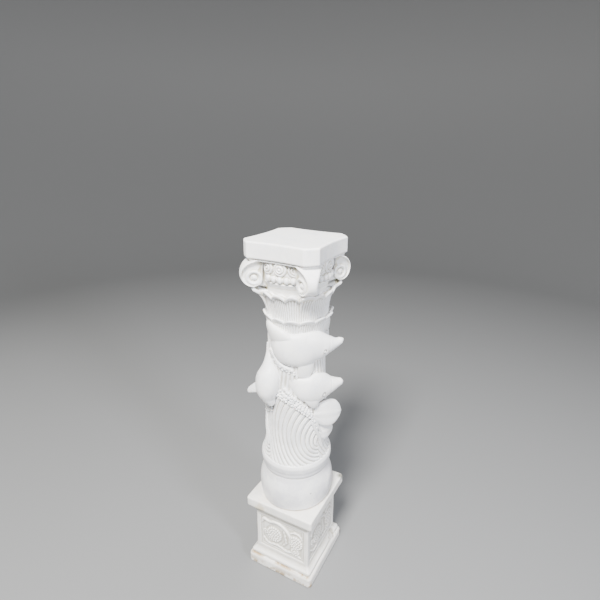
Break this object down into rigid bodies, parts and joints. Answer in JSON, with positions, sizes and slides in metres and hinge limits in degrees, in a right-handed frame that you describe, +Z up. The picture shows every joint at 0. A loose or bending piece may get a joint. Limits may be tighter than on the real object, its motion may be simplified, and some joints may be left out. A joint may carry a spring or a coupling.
{
  "type": "marble pedestal column",
  "caption": "Round carved marble column with dolphins, waves and a composite scroll capital, standing on a square panelled pedestal.",
  "frame": {"origin": "centre of the pedestal's underside, on the column's axis", "axes": "+Z up along the column's axis, -Y to the front face of the square pedestal, +X to its right side"},
  "size_m": [0.2293, 0.2293, 0.914],
  "materials": {
    "pedestal_marble": "honed, slightly stained",
    "column_marble": "honed, satin"
  },
  "bodies": {
    "root": {"pedestal": "pedestal_marble", "column": "column_marble"}
  },
  "joints": []
}
